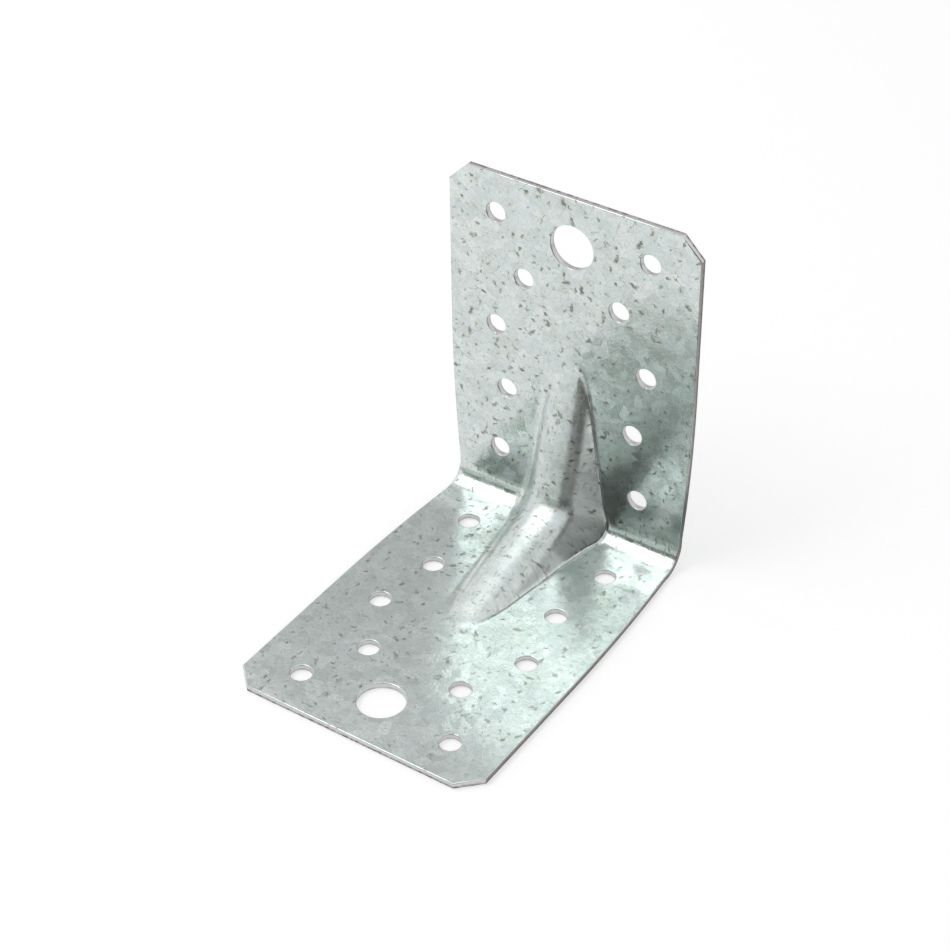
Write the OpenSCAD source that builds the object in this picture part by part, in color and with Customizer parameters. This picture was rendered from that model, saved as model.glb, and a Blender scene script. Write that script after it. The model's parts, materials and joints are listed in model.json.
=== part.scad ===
// Reinforced angle bracket: one sheet of galvanised steel, punched, folded to a
// right angle and pressed inwards across the fold to form a hollow stiffening rib.
// The base leg lies flat on z = 0, centred on the origin; the wall leg rises at +Y.

/* [Sheet] */
// Width of both legs at their free ends
width = 65; // [60:1:90]
// Length of the base leg, measured from the back face of the wall leg
base_leg = 90; // [85:1:130]
// Length of the wall leg, measured from the underside of the base leg
wall_leg = 90; // [85:1:130]
// Thickness of the sheet
thickness = 1.5; // [1:0.1:2.5]
// Inside radius of the fold
bend_r = 5; // [3:0.5:7]
// Corner cut at 45 degrees on the two corners of each free end
corner_cut = 5; // [2:0.5:8]
// How far each long edge is drawn in at the fold by the pressing of the rib
waist_depth = 1.8; // [0.6:0.1:3]
// Distance from the heel at which the drawn-in edges reach full width again
waist_reach = 50; // [40:1:60]

/* [Rib] */
// Distance from the heel at which the rib runs out into each leg
rib_reach = 46.5; // [42:0.5:52]
// Height of the rib's crest above both inner faces, where the crest folds
rib_height = 9; // [7:0.5:11]
// Width of the flat that runs along the rib's crest
rib_crest_w = 3.5; // [2:0.5:5]
// Radius of the two shoulders beside the crest's flat
rib_crest_r = 5; // [3.5:0.5:6.5]
// Angle between the rib's flanks and the plane that it rises from
rib_flank = 58; // [52:1:64]
// Radius of the fold in the crest line
rib_fold_r = 6; // [4:0.5:8]

/* [Nail holes] */
// Diameter of the nail holes
nail_d = 5; // [4:0.1:6]
// Distance from the free end to the outermost row
field_end = 10; // [7:0.5:14]
// Distance between the two wide rows near the free end
field_pitch = 30; // [26:1:34]
// Distance across the two wide rows near the free end
field_gauge = 40; // [34:1:46]
// Distance across the pair midway between the wide rows
centre_gauge = 25; // [22:1:28]
// Distance from the heel to the row beside the middle of the rib
rib_row_heel = 33; // [28:0.5:36]
// Distance across the row beside the middle of the rib
rib_row_gauge = 34; // [32:1:44]
// Distance from the heel to the row beside the fold
fold_row_heel = 15; // [14:0.5:18]
// Distance across the row beside the fold
fold_row_gauge = 38; // [36:1:46]

/* [Bolt hole] */
// Diameter of the bolt hole
bolt_d = 11; // [8:0.5:13]
// Distance from the free end to the bolt hole
bolt_end = 12.5; // [10:0.5:14]

/* [Hidden] */
$fn = 96;
// The waist is a shallow arc of a very large circle
waist_fn = 720;
// How far cutting bodies reach past the sheet
spill = 1;
// Arcs of the rib meet the straight stretches beside them at this small angle, in degrees
arc_lap = 3;
// The rib's arms run this far into the fold of its crest
arm_lap = 2;
// The edges run straight this far past the bend before they widen
waist_run = 1;
// The drawn-in arc would swell this far past full width, so that it crosses the edge
waist_lap = 0.05;
// The rib's section reaches past the sheet's back by this share of the rib's depth
section_reach = 1.5;

heel_y = base_leg / 2;
skin_r = bend_r + thickness;
bend_y = heel_y - skin_r;
waist_half = width / 2 - waist_depth;
waist_length = waist_reach - skin_r - waist_run;
waist_rise = waist_depth + waist_lap;
waist_arc_r = (waist_length ^ 2 + waist_rise ^ 2) / (2 * waist_rise);

// The crest runs straight from each leg to a fold on the bisector of the two legs
crest_run = rib_reach - thickness - rib_height;
crest_tilt = atan2(rib_height, crest_run);
crest_turn = 90 - 2 * crest_tilt;
fold_reach = rib_fold_r * cos(arc_lap);
fold_offset = fold_reach / cos(crest_turn / 2) / sqrt(2);
arm_length = norm([rib_height, crest_run]) - fold_reach * tan(crest_turn / 2);
arm_overrun = thickness / tan(crest_tilt);
section_depth = section_reach * (rib_height + thickness);

// Draws a side profile (y across the page, z up it) and runs it across the width
module across_width() {
    rotate([90, 0, 90]) children();
}

// All that lies inside the angle, in front of the skin at a depth into the sheet
module inside_angle(depth, margin) {
    span = width + 2 * margin;
    front = heel_y + margin;
    top = wall_leg + margin;
    across_width() translate([0, 0, -span / 2]) {
        translate([-front, depth, 0]) cube([front + bend_y, top - depth, span]);
        translate([bend_y, skin_r, 0]) cube([skin_r - depth, top - skin_r, span]);
        translate([bend_y, skin_r, 0]) rotate(-90)
            rotate_extrude(angle = 90) square([skin_r - depth, span]);
    }
}

// Section of the rib, x down from the crest: a flat between two round shoulders that lap
// onto it and onto the straight flanks
module rib_section(depth) {
    r = rib_crest_r - depth;
    flank_r = r * cos(arc_lap);
    crest_half = rib_crest_w / 2;
    crest_x = rib_crest_r - flank_r;
    shoulder_x = rib_crest_r - flank_r * cos(rib_flank);
    shoulder_half = crest_half + flank_r * sin(rib_flank);
    foot_half = shoulder_half + (section_depth - shoulder_x) / tan(rib_flank);
    for (side = [-1, 1]) translate([rib_crest_r, side * crest_half]) circle(r);
    polygon([[crest_x, -crest_half], [shoulder_x, -shoulder_half], [section_depth, -foot_half],
             [section_depth, foot_half], [shoulder_x, shoulder_half], [crest_x, crest_half]]);
}

// Straight stretch of the rib along one leg, from inside the fold to past its tip
module rib_arm(depth) {
    rotate(-crest_tilt) translate([fold_reach, -arm_lap, 0]) rotate([-90, 0, 0])
        linear_extrude(arm_lap + arm_length + arm_overrun) rib_section(depth);
}

// The rib's section swept down one leg, round the fold and along the other leg
module rib_sweep(depth) {
    rise = thickness + rib_height + fold_offset;
    across_width() translate([heel_y - rise, rise, 0]) {
        rib_arm(depth);
        mirror([1, 1, 0]) rib_arm(depth);
        rotate(crest_tilt - 90) rotate_extrude(angle = crest_turn)
            translate([rib_fold_r, 0]) rib_section(depth);
    }
}

// Flat outline of one leg, y away from the heel, from the fold to the free end
module leg_outline(leg) {
    half = width / 2;
    difference() {
        polygon([[-half, skin_r], [half, skin_r], [half, leg - corner_cut],
                 [half - corner_cut, leg], [corner_cut - half, leg], [-half, leg - corner_cut]]);
        for (side = [0, 1]) mirror([side, 0]) difference() {
            translate([waist_half, skin_r - spill])
                square([waist_depth + spill, waist_reach - skin_r + spill]);
            translate([half + waist_lap - waist_arc_r, waist_reach])
                circle(waist_arc_r, $fn = waist_fn);
        }
    }
}

// Room that the trimmed edges leave: the wall leg, the base leg and the fold
module trimmed_room() {
    translate([0, heel_y, 0]) rotate([90, 0, 0])
        linear_extrude(base_leg) leg_outline(wall_leg);
    translate([0, heel_y, 0]) mirror([0, 1, 0])
        linear_extrude(skin_r) leg_outline(base_leg);
    translate([-waist_half, bend_y, 0]) cube([2 * waist_half, skin_r, skin_r]);
}

// Nail and bolt holes of one leg, y away from the heel, through a sheet on z = 0
module leg_holes(leg) {
    rows = [[leg - field_end, field_gauge],
            [leg - field_end - field_pitch / 2, centre_gauge],
            [leg - field_end - field_pitch, field_gauge],
            [rib_row_heel, rib_row_gauge],
            [fold_row_heel, fold_row_gauge]];
    translate([0, 0, -spill]) {
        for (row = rows, side = [-1, 1])
            translate([side * row[1] / 2, row[0], 0])
                cylinder(d = nail_d, h = thickness + 2 * spill);
        translate([0, leg - bolt_end, 0]) cylinder(d = bolt_d, h = thickness + 2 * spill);
    }
}

// The whole bracket: the sheet left between its outer and its inner skin
module bracket() {
    color([0.70, 0.74, 0.72]) difference() {
        intersection() {
            difference() {
                inside_angle(0, 0);
                rib_sweep(thickness);
                difference() {
                    inside_angle(thickness, spill);
                    rib_sweep(0);
                }
            }
            trimmed_room();
        }
        translate([0, heel_y, 0]) mirror([0, 1, 0]) leg_holes(base_leg);
        translate([0, heel_y, 0]) rotate([90, 0, 0]) leg_holes(wall_leg);
    }
}

bracket();
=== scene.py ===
import json
import math
import bpy
import bmesh
import numpy as np
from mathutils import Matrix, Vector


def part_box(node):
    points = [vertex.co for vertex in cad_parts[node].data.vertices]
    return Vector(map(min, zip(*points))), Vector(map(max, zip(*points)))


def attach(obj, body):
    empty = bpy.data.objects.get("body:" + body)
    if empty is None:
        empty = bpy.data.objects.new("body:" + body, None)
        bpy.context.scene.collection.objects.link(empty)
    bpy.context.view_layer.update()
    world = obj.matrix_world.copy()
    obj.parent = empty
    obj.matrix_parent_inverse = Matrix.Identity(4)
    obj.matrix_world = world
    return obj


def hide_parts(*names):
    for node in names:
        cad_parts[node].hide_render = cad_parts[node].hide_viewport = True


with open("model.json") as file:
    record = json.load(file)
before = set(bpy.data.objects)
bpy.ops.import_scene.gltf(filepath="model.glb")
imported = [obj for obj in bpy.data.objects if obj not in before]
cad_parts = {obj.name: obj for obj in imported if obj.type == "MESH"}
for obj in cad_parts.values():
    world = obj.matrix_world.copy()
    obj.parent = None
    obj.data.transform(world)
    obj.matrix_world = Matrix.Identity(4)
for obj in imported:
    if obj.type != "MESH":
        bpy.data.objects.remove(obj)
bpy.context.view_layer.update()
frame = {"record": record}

mm = 0.001


# one socket of a node tree; sums and products on it add Math nodes
class Wire:
    def __init__(self, tree, socket=None):
        self.tree = tree
        self.socket = socket

    # any node: its settings first, then the values or links of its sockets
    def add(self, kind, settings=None, sockets=None, output=0):
        node = self.tree.nodes.new(kind)
        for name, value in (settings or {}).items():
            setattr(node, name, value)
        for name, value in (sockets or {}).items():
            if isinstance(value, Wire):
                self.tree.links.new(value.socket, node.inputs[name])
            else:
                node.inputs[name].default_value = value
        return Wire(self.tree, node.outputs[output] if node.outputs else None)

    # another output of the same node
    def out(self, output):
        return Wire(self.tree, self.socket.node.outputs[output])

    def maths(self, operation, *values):
        return self.add("ShaderNodeMath", dict(operation=operation), dict(enumerate(values)))

    def __add__(self, other):
        return self.maths("ADD", self, other)

    def __radd__(self, other):
        return self.maths("ADD", other, self)

    def __sub__(self, other):
        return self.maths("SUBTRACT", self, other)

    def __rsub__(self, other):
        return self.maths("SUBTRACT", other, self)

    def __mul__(self, other):
        return self.maths("MULTIPLY", self, other)

    def __rmul__(self, other):
        return self.maths("MULTIPLY", other, self)

    def __truediv__(self, other):
        return self.maths("DIVIDE", self, other)

    def __rtruediv__(self, other):
        return self.maths("DIVIDE", other, self)

    def __pow__(self, other):
        return self.maths("POWER", self, other)

    def __rpow__(self, other):
        return self.maths("POWER", other, self)

    def __gt__(self, other):
        return self.maths("GREATER_THAN", self, other)

    def __lt__(self, other):
        return self.maths("LESS_THAN", self, other)

    def __abs__(self):
        return self.maths("ABSOLUTE", self)

    # 0 below low, 1 above high, smooth between; low may be the larger
    def step(self, low, high):
        ramp = dict(interpolation_type="SMOOTHSTEP")
        return self.add("ShaderNodeMapRange", ramp, {0: self, 1: low, 2: high})

    # a share from 0 to 1 becomes one from least to 1
    def atLeast(self, least):
        return self * (1 - least) + least

    # sockets 6 and 7 and output 2 are the Mix node's colours
    def blend(self, first, second, share):
        sockets = {0: share, 6: first, 7: second}
        return self.add("ShaderNodeMix", dict(data_type="RGBA"), sockets, output=2)

    def vector(self, operation, *values):
        return self.add("ShaderNodeVectorMath", dict(operation=operation), dict(enumerate(values)))

    def parts(self):
        split = self.add("ShaderNodeSeparateXYZ", None, {0: self})
        return split, split.out(1), split.out(2)

    # turns a vector of the sheet's plane by a share of a full turn
    def turned(self, share):
        sockets = {"Vector": self, "Angle": share * math.tau}
        return self.add("ShaderNodeVectorRotate", dict(rotation_type="Z_AXIS"), sockets)


def newMaterial(name):
    material = bpy.data.materials.new(name)
    material.use_nodes = True
    material.node_tree.nodes.clear()
    return material, Wire(material.node_tree)


# the sheet as it is punched flat and then pressed, in millimetres
sheet = dict(
    thickness=1.5,
    bendRadius=5.0,
    cornerCut=5.0,
    waistDepth=1.8,          # how far the long edges draw in at the fold
    waistReach=50.0,         # from the heel
    waistRun=1.0,            # straight edge past the bend
    waistGrip=24.0,          # the sheet moves sideways only outside this half width
    waistRim=1.0,            # and all the way in this outermost strip
    ribReach=46.5,           # from the heel
    ribHeight=9.0,
    ribCrown=14.0,           # radius over the crest
    ribCrownTurn=math.radians(10),
    ribShoulder=5.5,         # radius between the crest and the flanks
    ribFlank=math.radians(58),
    ribFold=6.0,             # radius of the fold in the crest line
    ribFillet=(1.7, 0.5),    # softness of the crease on the left, and on the right and at the tips
    ribFilletStart=-3.0,     # where on x the left crease's softness sets in
    ribFilletRun=4.0,        # and how much farther left it is full
    zoneHalf=13.6,           # half width of the finely divided strip that takes the rib
    zoneReach=50.0,
    topRoll=0.24,            # rolled edge on the punch side
    topSegments=3,
    backRoll=0.12,
    backSegments=2,
    holeSides=64,
    legLines=13,             # lines marked across each leg, across the bend and along the rib
    bendLines=4,
    ribLines=8,
    fineCuts=10,             # between those lines, where the sheet is formed
    pressEye=30.0,           # the rib rises towards a point this far inside both legs
    pressReach=26.0,         # no point rises farther
    pressSteps=40,           # halvings of that distance
)
lowCorner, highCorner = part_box("bracket")
sheet["width"] = (highCorner.x - lowCorner.x) / mm
sheet["baseLeg"] = (highCorner.y - lowCorner.y) / mm
sheet["wallLeg"] = (highCorner.z - lowCorner.z) / mm
sheet["heelRadius"] = sheet["bendRadius"] + sheet["thickness"]
sheet["baseFlat"] = sheet["baseLeg"] - sheet["heelRadius"]
sheet["bendLength"] = sheet["bendRadius"] * math.pi / 2
sheet["wallStart"] = sheet["baseFlat"] + sheet["bendLength"]
sheet["flatLength"] = sheet["wallStart"] + sheet["wallLeg"] - sheet["heelRadius"]
sheet["bendMiddle"] = sheet["baseFlat"] + sheet["bendLength"] / 2


# place along the flat sheet of a point of the part, from the base leg's free end
def flatPlace(point):
    x, y, z = (value / mm for value in point)
    if abs(highCorner.y / mm - y) < sheet["thickness"]:
        return x, sheet["wallStart"] + z - sheet["heelRadius"]
    return x, y - lowCorner.y / mm


# every punched hole, read from the record's mounts: place on the flat sheet and radius
def punchedHoles():
    holes = []
    for mount in frame["record"]["mounts"]:
        dims = mount["dims"]
        if mount["kind"] == "bore":
            holes.append((*flatPlace(mount["pos_m"]), dims["r_mm"]))
        if mount["kind"] == "bolt_pattern":
            x, along = flatPlace(mount["pos_m"])
            rows = (-0.5, 0.5) if "spacing_y_mm" in dims else (0,)
            for row in rows:
                for side in (-0.5, 0.5):
                    place = along + row * dims.get("spacing_y_mm", 0)
                    holes.append((x + side * dims["spacing_x_mm"], place, dims["hole_r_mm"]))
    return holes


def deselectAll():
    bpy.ops.object.select_all(action="DESELECT")


def selectOnly(piece):
    deselectAll()
    piece.select_set(True)
    bpy.context.view_layer.objects.active = piece


# selects faces or edges of the mesh in edit mode by a test on each
def pick(piece, kind, test):
    bpy.ops.mesh.select_mode(type=kind)
    bpy.ops.mesh.select_all(action="DESELECT")
    mesh = bmesh.from_edit_mesh(piece.data)
    for item in (mesh.faces if kind == "FACE" else mesh.edges):
        if test(item):
            item.select_set(True)
    mesh.select_flush_mode()
    bmesh.update_edit_mesh(piece.data)


def bisectAt(place, normal, clear=False):
    bpy.ops.mesh.select_all(action="SELECT")
    bpy.ops.mesh.bisect(plane_co=place, plane_no=normal, clear_outer=clear, use_fill=clear)


# flat blank: a slab, cut at its corners, marked with lines that the fold and the rib follow
def cutBlank():
    half, length, thick = sheet["width"] / 2, sheet["flatLength"], sheet["thickness"]
    deselectAll()
    bpy.ops.mesh.primitive_cube_add(size=1, location=(0, length / 2, -thick / 2))
    blank = bpy.context.object
    blank.name = "bracket_sheet"
    blank.scale = (sheet["width"], length, thick)
    bpy.ops.object.transform_apply(location=True, rotation=False, scale=True)
    bpy.ops.object.mode_set(mode="EDIT")
    cut = sheet["cornerCut"]
    for side in (-1, 1):
        bisectAt((side * (half - cut), 0, 0), (side, -1, 0), clear=True)
        bisectAt((side * (half - cut), length, 0), (side, 1, 0), clear=True)
    bend, reach = sheet["heelRadius"], sheet["zoneReach"]
    for heel in np.linspace(bend + sheet["waistRun"], reach, sheet["legLines"]):
        bisectAt((0, sheet["baseLeg"] - heel, 0), (0, 1, 0))
        bisectAt((0, sheet["wallStart"] + heel - bend, 0), (0, 1, 0))
    for share in np.linspace(0, 1, sheet["bendLines"]):
        bisectAt((0, sheet["baseFlat"] + share * sheet["bendLength"], 0), (0, 1, 0))
    for across in np.linspace(-sheet["zoneHalf"], sheet["zoneHalf"], sheet["ribLines"]):
        bisectAt((across, 0, 0), (1, 0, 0))
    bpy.ops.object.mode_set(mode="OBJECT")
    print("blank cut:", len(blank.data.polygons), "faces")
    return blank


def punchHoles(blank):
    thick = sheet["thickness"]
    depth = 4 * thick        # well through the sheet
    punches = []
    for x, along, radius in punchedHoles():
        bpy.ops.mesh.primitive_cylinder_add(vertices=sheet["holeSides"], radius=radius, depth=depth,
                                            location=(x, along, -thick / 2))
        punches.append(bpy.context.object)
    deselectAll()
    for punch in punches:
        punch.select_set(True)
    bpy.context.view_layer.objects.active = punches[0]
    bpy.ops.object.join()
    punch = bpy.context.object
    selectOnly(blank)
    cutter = blank.modifiers.new("punch", "BOOLEAN")
    cutter.operation = "DIFFERENCE"
    cutter.solver = "EXACT"
    cutter.object = punch
    bpy.ops.object.modifier_apply(modifier="punch")
    bpy.data.objects.remove(punch)
    print("holes punched:", len(punches))


# rims of the outline and of the holes, more on the punch side than on the back
def rollEdges(blank):
    slack = 0.01             # of a point's level
    rimTurn = 1.2            # a rim turns more than this, in radians

    def rim(level):
        def test(edge):
            flat = all(abs(v.co.z - level) < slack for v in edge.verts)
            return flat and len(edge.link_faces) == 2 and edge.calc_face_angle(0) > rimTurn
        return test

    rims = ((0, sheet["topRoll"], sheet["topSegments"]),
            (-sheet["thickness"], sheet["backRoll"], sheet["backSegments"]))
    selectOnly(blank)
    bpy.ops.object.mode_set(mode="EDIT")
    for level, roll, segments in rims:
        pick(blank, "EDGE", rim(level))
        bpy.ops.mesh.bevel(offset=roll, segments=segments, profile=0.5, affect="EDGES", clamp_overlap=False)
    bpy.ops.object.mode_set(mode="OBJECT")
    print("edges rolled:", len(blank.data.polygons), "faces")


# the sheet is divided finely where the fold and the rib will form it
def divideFormed(blank):
    reach = sheet["zoneReach"] - sheet["heelRadius"]
    low, high = sheet["baseFlat"] - reach, sheet["wallStart"] + reach

    def formed(face):
        centre = face.calc_center_median()
        inBend = sheet["baseFlat"] < centre.y < sheet["wallStart"]
        inRib = abs(centre.x) < sheet["zoneHalf"] and low < centre.y < high
        return inBend or inRib

    selectOnly(blank)
    bpy.ops.object.mode_set(mode="EDIT")
    pick(blank, "FACE", formed)
    bpy.ops.mesh.subdivide(number_cuts=sheet["fineCuts"])
    bpy.ops.object.mode_set(mode="OBJECT")
    print("sheet divided:", len(blank.data.polygons), "faces")


# distance past a rounded inside corner, symmetric between the two legs, in the side view
def pastCorner(back, up, foot, tilt, radius):
    sine, cosine = math.sin(tilt), math.cos(tilt)
    apex = (radius + sine * foot[0] + cosine * foot[1]) / (sine + cosine)
    alongBase = cosine * (back - apex) - sine * (up - apex)
    alongWall = cosine * (up - apex) - sine * (back - apex)
    pastBase = -sine * (back - apex) - cosine * (up - apex)
    pastWall = -sine * (up - apex) - cosine * (back - apex)
    past = np.maximum(pastBase, pastWall)
    past = np.where((alongBase >= 0) & (alongWall < 0), pastBase, past)
    past = np.where((alongBase < 0) & (alongWall >= 0), pastWall, past)
    past = np.where((alongBase < 0) & (alongWall < 0), np.hypot(back - apex, up - apex), past)
    return past - radius


# depth below the crest line of the rib's section, and its slope
def ribSection(x):
    crown, shoulder = sheet["ribCrown"], sheet["ribShoulder"]
    first, last = sheet["ribCrownTurn"], sheet["ribFlank"]
    across = np.abs(x)
    crownEdge = crown * math.sin(first)
    shoulderEdge = crownEdge + shoulder * (math.sin(last) - math.sin(first))
    slope = np.arcsin(np.minimum(across, crownEdge) / crown)
    sag = crown - crown * np.cos(slope)
    turned = np.clip(across - crownEdge, 0, shoulderEdge - crownEdge)
    slope = np.where(turned > 0, np.arcsin(math.sin(first) + turned / shoulder), slope)
    sag += np.where(turned > 0, shoulder * (math.cos(first) - np.cos(slope)), 0)
    sag += np.maximum(across - shoulderEdge, 0) * math.tan(last)
    return sag, slope


# legs: how far a point lies inside the plain folded skin; ridge: the same for the rib's skin
def skinDepths(x, back, up):
    thick = sheet["thickness"]
    legs = pastCorner(back, up, (0, thick), 0, sheet["bendRadius"])
    tilt = math.atan2(sheet["ribHeight"], sheet["ribReach"] - thick - sheet["ribHeight"])
    ridge = pastCorner(back, up, (sheet["ribReach"], thick), tilt, sheet["ribFold"])
    sag, slope = ribSection(x)
    return legs, (ridge - sag) * np.cos(slope)


# both skins in one, blended where the rib rises from the legs
def pastSkin(x, back, up):
    legs, ridge = skinDepths(x, back, up)
    left, right = sheet["ribFillet"]
    leftness = np.clip((sheet["ribFilletStart"] - x) / sheet["ribFilletRun"], 0, 1)
    soft = right + (left - right) * leftness
    near = np.maximum(soft - np.abs(legs - ridge), 0)
    return np.maximum(legs, ridge) + near ** 2 / (4 * soft)


# the long edges draw in towards the fold along an arc
def drawnIn(x, back, up):
    reach, drawn = sheet["waistReach"], sheet["waistDepth"]
    start = sheet["heelRadius"] + sheet["waistRun"]
    arcLength = reach - start
    arcRadius = (arcLength ** 2 + drawn ** 2) / (2 * drawn)
    fromHeel = np.clip(np.maximum(back, up), start, reach)
    pull = arcRadius - np.sqrt(arcRadius ** 2 - (reach - fromHeel) ** 2)
    grip = sheet["waistGrip"]
    rim = sheet["width"] / 2 - sheet["waistRim"]
    return x - np.sign(x) * pull * np.clip((np.abs(x) - grip) / (rim - grip), 0, 1)


# the rib rises from the folded skin along rays towards a point well inside the angle
def raised(x, back, up):
    touch = 1e-9             # a point no deeper than this lies on the skin
    rayBack, rayUp = sheet["pressEye"] - back, sheet["pressEye"] - up
    rayLength = np.hypot(rayBack, rayUp)
    rayBack, rayUp = rayBack / rayLength, rayUp / rayLength
    low, high = np.zeros_like(x), np.full_like(x, sheet["pressReach"])
    for _ in range(sheet["pressSteps"]):
        middle = (low + high) / 2
        inside = pastSkin(x, back + middle * rayBack, up + middle * rayUp) > touch
        low = np.where(inside, middle, low)
        high = np.where(inside, high, middle)
    return back + low * rayBack, up + low * rayUp


# the press: carries points of the flat blank to the folded and ribbed sheet
def pressed(points):
    bend, heel = sheet["bendRadius"], sheet["heelRadius"]
    x, along, depth = points[:, 0], points[:, 1], -points[:, 2]
    turn = np.clip((along - sheet["baseFlat"]) / bend, 0, math.pi / 2)
    back = heel - bend * np.sin(turn) + np.maximum(sheet["baseFlat"] - along, 0)
    up = heel - bend * np.cos(turn) + np.maximum(along - sheet["wallStart"], 0)
    x = drawnIn(x, back, up)
    back, up = raised(x, back, up)
    legs, ridge = skinDepths(x, back, up)
    crease = legs - ridge        # zero along the line where the rib leaves the legs
    # the metal lies behind the skin, square to it
    nudge = 0.02                 # for the skin's slope
    across = pastSkin(x + nudge, back, up) - pastSkin(x - nudge, back, up)
    backward = pastSkin(x, back + nudge, up) - pastSkin(x, back - nudge, up)
    upward = pastSkin(x, back, up + nudge) - pastSkin(x, back, up - nudge)
    size = np.sqrt(across ** 2 + backward ** 2 + upward ** 2)
    x = x + depth * across / size
    back = back + depth * backward / size
    up = up + depth * upward / size
    return np.column_stack([x * mm, highCorner.y - back * mm, up * mm]), crease


def pressSheet(blank):
    upright = 0.4            # a sheared face's normal leans less than this out of the blank's plane
    mesh = blank.data
    flat = np.zeros(len(mesh.vertices) * 3)
    mesh.vertices.foreach_get("co", flat)
    flat = flat.reshape(-1, 3)
    sheared = [abs(face.normal.z) < upright for face in mesh.polygons]
    shape, crease = pressed(flat)
    mesh.vertices.foreach_set("co", shape.ravel())
    mesh.polygons.foreach_set("material_index", [int(edge) for edge in sheared])
    # the materials read each point's place on the flat sheet, in millimetres
    keep = mesh.attributes.new("blank", "FLOAT_VECTOR", "POINT")
    keep.data.foreach_set("vector", flat.ravel())
    keep = mesh.attributes.new("crease", "FLOAT", "POINT")
    keep.data.foreach_set("value", crease)
    mesh.update()
    selectOnly(blank)
    bpy.ops.object.shade_smooth_by_angle(angle=math.radians(35))
    weigh = blank.modifiers.new("weigh", "WEIGHTED_NORMAL")
    weigh.keep_sharp = True
    bpy.ops.object.modifier_apply(modifier="weigh")
    print("sheet pressed:", len(mesh.vertices), "points,", sum(sheared), "sheared faces")


# zinc as it sets on the sheet: crystals a couple of millimetres wide, dark flecks between them
zinc = dict(
    pale=(0.71, 0.755, 0.738, 1),
    deep=(0.54, 0.595, 0.572, 1),
    cool=(0.60, 0.695, 0.72, 1),
    fleck=(0.14, 0.15, 0.125, 1),
    halo=(0.40, 0.41, 0.36, 1),
    stainAndCreaseShade=(0.20, 0.185, 0.18, 1),
    crystal=2.3,
    fineCrystal=0.69,
    crystalWave=(0.7, 1.3),  # size and strength of the waves in the crystals' borders
    fleckWave=(0.4, 0.9),    # and of those that the flecks' borders have on top
    featherStretch=(5.5, 1.0, 1.0),
    featherLayers=50.0,      # each crystal reads its own layer of the growth lines
    cloud=9.0,
    shade=dict(tone=0.6, fine=0.45, feather=1.6, cloud=0.6, lift=-0.08),
    coolFrom=0.6,            # the glossier crystals are cooler
    coolShare=0.25,
    # cell, length, breadth, share of cells that hold a fleck, strength
    flecks=(
        (3.0, 0.66, 0.27, 0.70, 0.95),
        (2.0, 0.34, 0.17, 0.45, 0.75),
        (5.5, 1.0, 0.38, 0.65, 0.95),
        (7.0, 2.6, 0.08, 0.60, 0.7),
        (1.2, 0.18, 0.10, 0.35, 0.6),
    ),
    fleckSizes=(0.35, 1.25),     # smallest and largest, as a share of the length and breadth
    fleckTaper=0.6,              # how much wider the front end is
    fleckThinnest=0.2,
    fleckBorder=(1.5, 0.5),      # where it is clear and where it is full
    fleckFaintest=0.5,
    fleckPatch=(1.1, 0.45),      # size of the patches in which flecks fade, and how far they fade
    wornBase=0.06,               # the base leg is worn paler, more so on its right
    wornRight=0.3,
    haloShare=0.75,
    fleckShare=0.8,
    creaseWidth=(0.16, 0.04),    # the crease's dark line, painted shade with some zinc dirt, on the right of the rib
    creaseRight=(3.5, 5.0),
    creaseShare=0.7,
    ribDepth=1.5,                # marks on the rib are full this far inside its crease
    drawnStretch=(0.12, 1.6, 0),
    drawnSize=0.5,
    drawnShare=0.25,
    smearStretch=(1.0, 0.35, 0),
    smearSize=1.3,
    smearShare=0.45,
    easeReach=14.0,              # the legs ease into the fold over this length
    easeWall=0.35,
    easeBase=1.6,
    easeLeft=0.4,                # share of the base leg's ease at its left edge
    wave=14.0,
    grain=0.25,
    relief=dict(wave=0.1, facet=0.035, grain=0.003, fleck=0.012, drawn=0.01),
    roughness=dict(least=0.17, crystal=0.06, fleck=0.2, rib=0.12),
    backShift=(311.0, 127.0),    # the back skin reads another part of the pattern
)


def noise(wire, coords, size, detail=2.0, output=0):
    sockets = {"Vector": coords, "Scale": 1 / size, "Detail": detail}
    return wire.add("ShaderNodeTexNoise", None, sockets, output)


def voronoi(wire, coords, size, output):
    settings = dict(voronoi_dimensions="2D", feature="F1")
    return wire.add("ShaderNodeTexVoronoi", settings, {"Vector": coords, "Scale": 1 / size}, output)


# moves a pattern to and fro, so that its borders wave
def waved(wire, coords, flat, size, strength):
    wander = noise(wire, flat, size, 3.0, output="Color")
    return wire.vector("MULTIPLY_ADD", wander, (strength, strength, 0), coords)


# place on the flat sheet, and the place where a skin reads its pattern
def sheetPlace(wire):
    place = wire.add("ShaderNodeAttribute", dict(attribute_name="blank"), output="Vector")
    x, along, level = place.parts()
    back = level < -sheet["thickness"] / 2
    shiftX, shiftAlong = zinc["backShift"]
    flat = wire.add("ShaderNodeCombineXYZ", None, {0: x + back * shiftX, 1: along + back * shiftAlong})
    return x, along, level, flat


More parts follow.
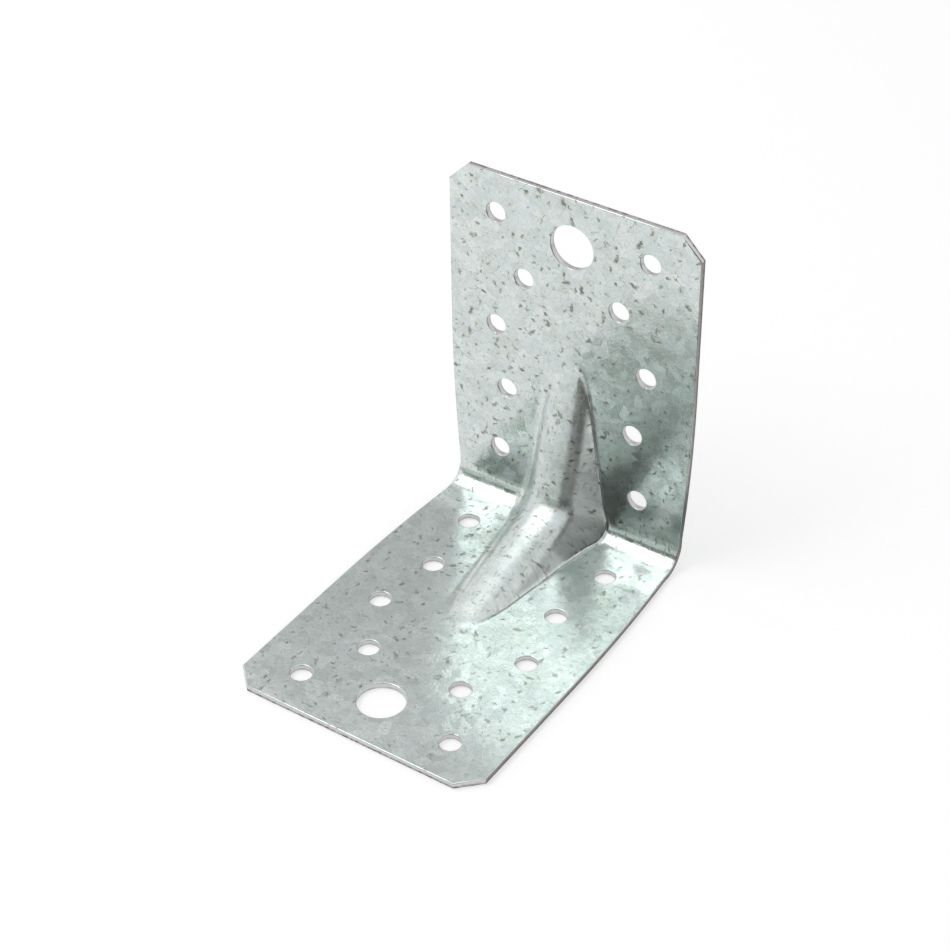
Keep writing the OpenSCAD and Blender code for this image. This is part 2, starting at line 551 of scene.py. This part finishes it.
# crystals, each with its own tone, gloss and lean, and feathered growth along a direction of its own
def zincCrystals(wire, flat, warped):
    centre = voronoi(wire, warped, zinc["crystal"], "Position")
    tone, gloss, lean = centre.out("Color").parts()
    lieX, lieAlong, _ = wire.vector("SUBTRACT", warped, centre).parts()
    facet = lieX * (gloss - 0.5) + lieAlong * (lean - 0.5)
    layer = tone * zinc["featherLayers"]
    lie = wire.add("ShaderNodeCombineXYZ", None, {0: lieX, 1: lieAlong, 2: layer})
    feather = noise(wire, wire.vector("MULTIPLY", lie.turned(lean), zinc["featherStretch"]), 1.0, 3.0)
    fine, _, _ = voronoi(wire, warped, zinc["fineCrystal"], "Color").parts()
    cloud = noise(wire, flat, zinc["cloud"])
    share = zinc["shade"]
    shade = tone * share["tone"] + fine * share["fine"] + (feather - 0.5) * share["feather"]
    shade = shade + (cloud - 0.5) * share["cloud"] + share["lift"]
    colour = wire.blend(zinc["deep"], zinc["pale"], shade)
    colour = wire.blend(colour, zinc["cool"], (gloss > zinc["coolFrom"]) * zinc["coolShare"])
    return colour, gloss, facet


# one wedge in some of the cells, each turned and sized by the cell's own random colour
def fleckLayer(wire, coords, cell, length, breadth, share):
    centre = voronoi(wire, coords, cell, "Position")
    spin, grow, chance = centre.out("Color").parts()
    forward, sideways, _ = wire.vector("SUBTRACT", coords, centre).turned(spin).parts()
    smallest, largest = zinc["fleckSizes"]
    size = grow * (largest - smallest) + smallest
    forward = forward / (size * length)
    taper = wire.maths("MAXIMUM", forward * zinc["fleckTaper"] + 1.0, zinc["fleckThinnest"])
    sideways = sideways / (size * breadth * taper)
    reach = (forward * forward + sideways * sideways) ** 0.5
    return reach.step(*zinc["fleckBorder"]) * (chance < share) * grow.atLeast(zinc["fleckFaintest"])


def zincFlecks(wire, x, along, flat, ragged):
    flecks = 0.0
    for cell, length, breadth, share, strength in zinc["flecks"]:
        layer = fleckLayer(wire, ragged, cell, length, breadth, share) * strength
        flecks = wire.maths("MAXIMUM", layer, flecks)
    patchSize, faintest = zinc["fleckPatch"]
    patchy = noise(wire, flat, patchSize, 3.0).step(0.3, 0.6).atLeast(faintest)
    worn = (along < sheet["bendMiddle"]) * (x.step(-10, 15) * zinc["wornRight"] + zinc["wornBase"])
    return flecks * patchy * (1.0 - worn)


# painted shade and zinc dirt in the crease beside the rib: a thin dark line, broken here and there
def creaseShadeAndStain(wire, x, level, flat, crease):
    front = level > -sheet["thickness"] / 2
    broken = noise(wire, flat, 3.0).step(0.3, 0.55)
    line = front * abs(crease).step(*zinc["creaseWidth"]) * x.step(*zinc["creaseRight"]) * broken
    return line * zinc["creaseShare"]


# height that eases the legs into the fold, the base leg more than the wall leg
def foldEase(x, along):
    easeWall, easeBase = zinc["easeWall"], zinc["easeBase"]
    across = x.step(-25, 25).atLeast(zinc["easeLeft"])
    rise = (along < sheet["bendMiddle"]) * across * (easeBase - easeWall) + easeWall
    return abs(along - sheet["bendMiddle"]).step(zinc["easeReach"], 0.0) * rise - rise


def galvanisedSkin():
    material, wire = newMaterial("galvanised_skin")
    x, along, level, flat = sheetPlace(wire)
    warped = waved(wire, flat, flat, *zinc["crystalWave"])
    ragged = waved(wire, warped, flat, *zinc["fleckWave"])
    colour, gloss, facet = zincCrystals(wire, flat, warped)
    flecks = zincFlecks(wire, x, along, flat, ragged)
    colour = wire.blend(colour, zinc["halo"], flecks.step(0.0, 0.5) * zinc["haloShare"])
    colour = wire.blend(colour, zinc["fleck"], flecks.step(0.3, 1.0) * zinc["fleckShare"])
    crease = wire.add("ShaderNodeAttribute", dict(attribute_name="crease"), output="Fac")
    # painted shade with some zinc dirt: the dark line in the rib's right crease
    colour = wire.blend(colour, zinc["stainAndCreaseShade"], creaseShadeAndStain(wire, x, level, flat, crease))

    # fine marks across the rib where the tool drew the metal, and smears along it
    onRib = crease.step(0.0, -zinc["ribDepth"])
    drawn = noise(wire, wire.vector("MULTIPLY", flat, zinc["drawnStretch"]), zinc["drawnSize"], 3.0)
    smear = noise(wire, wire.vector("MULTIPLY", flat, zinc["smearStretch"]), zinc["smearSize"], 3.0)
    marks = smear.step(0.56, 0.75) * zinc["smearShare"] + drawn.step(0.5, 0.8) * zinc["drawnShare"]
    colour = wire.blend(colour, zinc["stainAndCreaseShade"], onRib * marks)

    relief = zinc["relief"]      # in millimetres
    height = foldEase(x, along) + noise(wire, flat, zinc["wave"], 1.0) * relief["wave"]
    height = height + facet * relief["facet"] + noise(wire, flat, zinc["grain"]) * relief["grain"]
    height = height - flecks * relief["fleck"] + onRib * drawn * relief["drawn"]
    bump = wire.add("ShaderNodeBump", None, {"Height": height, "Distance": mm, "Strength": 1.0})
    rough = zinc["roughness"]
    roughness = gloss * rough["crystal"] + flecks * rough["fleck"] + onRib * rough["rib"] + rough["least"]
    shader = wire.add("ShaderNodeBsdfPrincipled", None, {
        "Base Color": colour, "Metallic": 1.0, "Normal": bump, "Roughness": roughness})
    wire.add("ShaderNodeOutputMaterial", None, {"Surface": shader})
    return material


# cut through the sheet: a smooth band under the rolled edge, then torn metal with a trace of rust
cutEdge = dict(
    smooth=(0.615, 0.61, 0.612, 1),
    torn=(0.44, 0.41, 0.41, 1),
    rust=(0.08, 0.055, 0.05, 1),
    paintedSideShade=(0.15, 0.125, 0.12, 1),     # long edges, painted dark: painted shade
    outlineHalf=27.0,                # no hole reaches as far out as this
    outlineEnd=5.5,                  # or as near to a free end
    tornDepth=(0.75, 1.0),           # under the front skin
    tornWander=0.9,
    tornInHoles=0.3,                 # the holes are cut cleaner than the outline
    ragged=0.7,
    streak=0.25,
    streakStretch=(1.0, 1.0, 0.15),
    streakRelief=0.02,
    tornRelief=0.05,
    rustPatch=1.3,
    rustShare=0.6,
    roughness=0.38,
    tornRoughness=0.25,
)


def shearedEdge():
    material, wire = newMaterial("sheared_edge")
    place = wire.add("ShaderNodeAttribute", dict(attribute_name="blank"), output="Vector")
    x, along, level = place.parts()
    half = sheet["flatLength"] / 2
    fromMiddle = abs(along - half)
    sides = abs(x) > cutEdge["outlineHalf"]
    outline = wire.maths("MAXIMUM", sides, fromMiddle > half - cutEdge["outlineEnd"])
    ragged = noise(wire, place, cutEdge["ragged"], 3.0) - 0.5
    torn = (ragged * cutEdge["tornWander"] - level).step(*cutEdge["tornDepth"])
    torn = torn * outline.atLeast(cutEdge["tornInHoles"])
    streak = noise(wire, wire.vector("MULTIPLY", place, cutEdge["streakStretch"]), cutEdge["streak"])
    rust = noise(wire, place, cutEdge["rustPatch"]).step(0.45, 0.6) * cutEdge["rustShare"]
    # painted shade: the long cut edges darkened, away from the corner cuts
    paintedSideShade = sides * (fromMiddle < half - sheet["cornerCut"])
    colour = wire.blend(cutEdge["smooth"], cutEdge["torn"], torn * (streak * 0.6 + 0.5))
    colour = wire.blend(colour, cutEdge["rust"], torn * rust)
    colour = wire.blend(colour, cutEdge["paintedSideShade"], paintedSideShade * streak.atLeast(0.5))
    height = streak * cutEdge["streakRelief"] + torn * ragged * cutEdge["tornRelief"]
    bump = wire.add("ShaderNodeBump", None, {"Height": height, "Distance": mm})
    roughness = torn * cutEdge["tornRoughness"] + cutEdge["roughness"]
    shader = wire.add("ShaderNodeBsdfPrincipled", None, {
        "Base Color": colour, "Metallic": 1.0, "Normal": bump, "Roughness": roughness})
    wire.add("ShaderNodeOutputMaterial", None, {"Surface": shader})
    return material


def makeBracket():
    blank = cutBlank()
    punchHoles(blank)
    rollEdges(blank)
    divideFormed(blank)
    blank.data.materials.clear()
    blank.data.materials.append(galvanisedSkin())
    blank.data.materials.append(shearedEdge())
    pressSheet(blank)
    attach(blank, "root")
    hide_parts("bracket")


studio = dict(
    floorSize=6,
    floorDrop=0.0002,        # the paper lies just under the sheet
    floorShade=(0.8, 0.8, 0.8, 1),
    floorGlow=0.43,
    paperRoughness=0.9,
    surroundDim=0.55,        # strength of the white surround where it only lights and isn't seen
    boxPlace=(-0.48, -0.42, 1.0),
    boxSize=(0.55, 1.16),
    boxPower=3.9,
    # name, place, lean, turn, width, height, soft border, colour
    cards=(
        ("grey_front", (-0.6, -0.9, 0.1), 90, 0, 1.0, 0.6, 0.08, (0.72, 0.80, 0.76, 1)),
        ("dim_front", (-0.35, -0.9, 0.63), 90, 0, 0.60, 0.62, 0.08, (0.06, 0.1, 0.08, 1)),
        ("dark_front", (0.7, -0.9, 0.26), 90, 0, 1.6, 0.92, 0.1, (0.03, 0.025, 0.02, 1)),
        ("dark_right", (1.1, -0.2, 0.1), 90, 90, 1.6, 0.62, 0.14, (0.03, 0.025, 0.02, 1)),
        ("dark_table", (0.49, -0.485, 0.001), 0, 0, 1.0, 0.83, 0.02, (0.16, 0.155, 0.14, 1)),
        # painted shadow: these two dark cards lie where the sheet's own shadow falls on the floor
        ("shade_front", (0.094, -0.04, 0.0012), 0, 0, 0.12, 0.12, 0.02, (0.12, 0.115, 0.1, 1)),
        ("shade_right", (0.044, 0.03, 0.0014), 0, 0, 0.026, 0.08, 0.01, (0.05, 0.045, 0.04, 1)),
        ("dark_far", (0.68, 0.16, 0.001), 0, 0, 0.96, 0.46, 0.06, (0.05, 0.045, 0.04, 1)),
        ("paper_sweep", (-0.6, 1.0, 0.8), 90, 0, 1.4, 1.2, 0.1, (0.85, 0.85, 0.85, 1)),
    ),
)


def makeFloor():
    deselectAll()
    bpy.ops.mesh.primitive_plane_add(size=studio["floorSize"], location=(0, 0, -studio["floorDrop"]))
    floor = bpy.context.object
    floor.name = "floor"
    material, wire = newMaterial("white_paper")
    shader = wire.add("ShaderNodeBsdfPrincipled", None, {
        "Base Color": studio["floorShade"], "Roughness": studio["paperRoughness"],
        "Specular IOR Level": 0.0, "Emission Color": (1, 1, 1, 1),
        "Emission Strength": studio["floorGlow"]})
    wire.add("ShaderNodeOutputMaterial", None, {"Surface": shader})
    floor.data.materials.append(material)


# white all round for the camera and in the metal, dimmer as a light
def makeSurround():
    world = bpy.data.worlds.new("studio")
    bpy.context.scene.world = world
    world.use_nodes = True
    world.node_tree.nodes.clear()
    wire = Wire(world.node_tree)
    path = wire.add("ShaderNodeLightPath", output="Is Camera Ray")
    seen = wire.maths("MAXIMUM", path, path.out("Is Glossy Ray"))
    seen = wire.maths("MAXIMUM", seen, path.out("Is Transmission Ray"))
    strength = seen.atLeast(studio["surroundDim"])
    backdrop = wire.add("ShaderNodeBackground", None, {"Color": (1, 1, 1, 1), "Strength": strength})
    wire.add("ShaderNodeOutputWorld", None, {"Surface": backdrop})


def makeSoftbox():
    light = bpy.data.lights.new("overhead_softbox", "AREA")
    light.shape = "RECTANGLE"
    light.size, light.size_y = studio["boxSize"]
    light.energy = studio["boxPower"]
    lamp = bpy.data.objects.new("overhead_softbox", light)
    bpy.context.scene.collection.objects.link(lamp)
    lamp.location = studio["boxPlace"]


# a card whose colour fades out at its border, so that no hard line shows in the metal
def softCard(name, width, height, border, colour):
    material, wire = newMaterial(name)
    place = wire.add("ShaderNodeTexCoord", output="Object")
    x, y, _ = place.parts()
    fade = abs(x).step(0.5, 0.5 - border / width) * abs(y).step(0.5, 0.5 - border / height)
    clear = wire.add("ShaderNodeBsdfTransparent")
    paper = wire.add("ShaderNodeBsdfPrincipled", None, {
        "Base Color": colour, "Roughness": studio["paperRoughness"]})
    shader = wire.add("ShaderNodeMixShader", None, {0: fade, 1: clear, 2: paper})
    wire.add("ShaderNodeOutputMaterial", None, {"Surface": shader})
    return material


# the dark room in front and to the right, the paper behind, and dark patches on the floor, of which
# shade_front and shade_right are painted shadow of the sheet, all seen only in the metal
def makeCards():
    for name, place, lean, turn, width, height, border, colour in studio["cards"]:
        deselectAll()
        pose = (math.radians(lean), 0, math.radians(turn))
        bpy.ops.mesh.primitive_plane_add(size=1, location=place, rotation=pose)
        card = bpy.context.object
        card.name = name
        card.scale = (width, height, 1)
        card.visible_camera = card.visible_diffuse = card.visible_shadow = False
        card.data.materials.append(softCard(name, width, height, border, colour))


def makeStudio():
    makeFloor()
    makeSurround()
    makeSoftbox()
    makeCards()
    print("studio ready:", len(studio["cards"]), "cards")


# solved from the holes and corners in the photograph
view = dict(
    place=(0.23331, -0.33723, 0.3605),
    turns=(52.217, 0.515, 33.898),       # tilt, roll and pan in degrees
    lens=90.71,
    sensor=36,
    nearest=0.01,
)


def makeCamera():
    data = bpy.data.cameras.new("camera")
    camera = bpy.data.objects.new("camera", data)
    bpy.context.scene.collection.objects.link(camera)
    camera.location = view["place"]
    camera.rotation_euler = [math.radians(turn) for turn in view["turns"]]
    data.lens = view["lens"]
    data.sensor_width = view["sensor"]
    data.clip_start = view["nearest"]
    bpy.context.scene.camera = camera
    print("camera placed")


makeCamera()
makeBracket()
makeStudio()
bpy.context.scene.view_settings.view_transform = "Standard"
